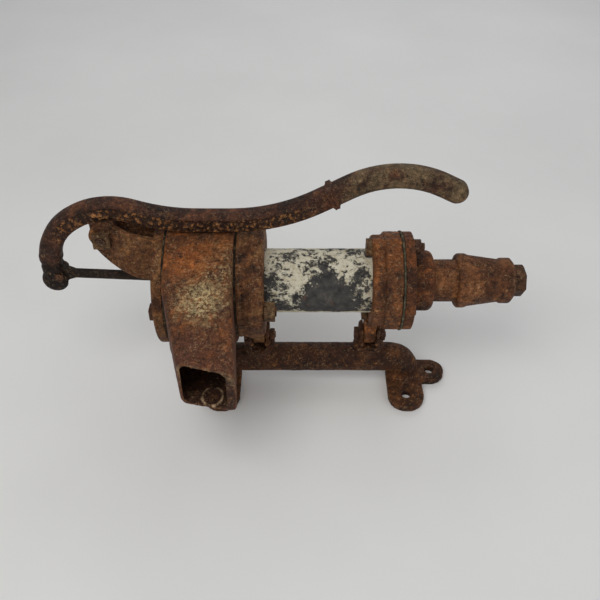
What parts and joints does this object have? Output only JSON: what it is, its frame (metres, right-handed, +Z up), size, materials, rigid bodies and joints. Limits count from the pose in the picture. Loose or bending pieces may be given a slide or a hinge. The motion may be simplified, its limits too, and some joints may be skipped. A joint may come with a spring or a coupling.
{
  "type": "hand well pump",
  "caption": "Bracket-mounted hand lift pump: lever handle, piston in a horizontal cylinder, tapering side spout and a plugged suction pipe.",
  "frame": {"origin": "midway between the two end bolt holes, on the mounting plane", "axes": "+X along the cylinder towards the suction end, +Y away from the spout mouth, +Z up from the mounting plane"},
  "size_m": [0.475, 0.209, 0.2648],
  "materials": {
    "rusty_cast_iron": "rough sand-cast surface, fully rusted, brown to orange",
    "painted_cast_iron": "sand-cast surface, rusted, with worn remains of tan paint",
    "rusty_steel": "rusted mild steel",
    "dark_steel": "dark rusted steel rod",
    "flaked_paint": "cream paint flaked off dark iron",
    "malleable_iron": "malleable iron fitting with an even orange-brown rust",
    "leather": "old greasy leather gone grey-green",
    "bronze": "dull tarnished bronze"
  },
  "bodies": {
    "frame": {"mounting_bracket": "rusty_cast_iron", "bracket_bolts": "rusty_steel", "bracket_nuts": "rusty_steel", "fulcrum_cap": "rusty_cast_iron", "cap_gasket": "leather", "spout_head": "painted_cast_iron", "head_gasket": "leather", "upper_flange": "rusty_cast_iron", "cylinder_barrel": "flaked_paint", "lower_flange": "rusty_cast_iron", "base_gasket": "leather", "suction_cover": "rusty_cast_iron", "suction_nipple": "rusty_steel", "reducer_coupling": "malleable_iron", "hex_plug": "malleable_iron", "head_bolts": "rusty_steel", "head_nuts": "rusty_steel", "flange_bolts": "rusty_steel", "flange_nuts": "rusty_steel", "fulcrum_bolt": "rusty_steel", "fulcrum_nut": "rusty_steel"},
    "lever": {"handle": "rusty_cast_iron", "rod_pin": "rusty_steel"},
    "rod": {"piston_rod": "dark_steel"},
    "piston": {"piston_cage": "rusty_cast_iron", "piston_pin": "rusty_steel", "piston_cup": "leather", "piston_follower": "rusty_cast_iron"},
    "valve": {"piston_valve": "bronze"},
    "foot_valve": {"foot_valve_flap": "leather", "foot_valve_weight": "rusty_cast_iron", "foot_valve_rivet": "bronze"}
  },
  "joints": [
    {"name": "handle_pivot", "type": "hinge", "parent": "frame", "child": "lever", "pos_m": [-0.198, 0, 0.196], "axis": [0, -1, 0], "range_deg": [0, 48]},
    {"name": "rod_swing", "type": "hinge", "parent": "lever", "child": "rod", "pos_m": [-0.25, 0, 0.145], "axis": [0, -1, 0], "range_deg": [-41, 0]},
    {"name": "piston_slide", "type": "slide", "parent": "frame", "child": "piston", "axis": [1, 0, 0], "range_m": [0, 0.0538]},
    {"name": "piston_valve_lift", "type": "slide", "parent": "piston", "child": "valve", "axis": [-1, 0, 0], "range_m": [0, 0.005]},
    {"name": "foot_valve_hinge", "type": "hinge", "parent": "frame", "child": "foot_valve", "pos_m": [0.0828, 0, 0.1565], "axis": [0, 1, 0], "range_deg": [0, 25]}
  ],
  "couplings": [
    {"joint": "rod_swing", "follows": "handle_pivot", "ratio": -0.845},
    {"joint": "piston_slide", "follows": "handle_pivot", "m_per_rad": 0.064}
  ]
}
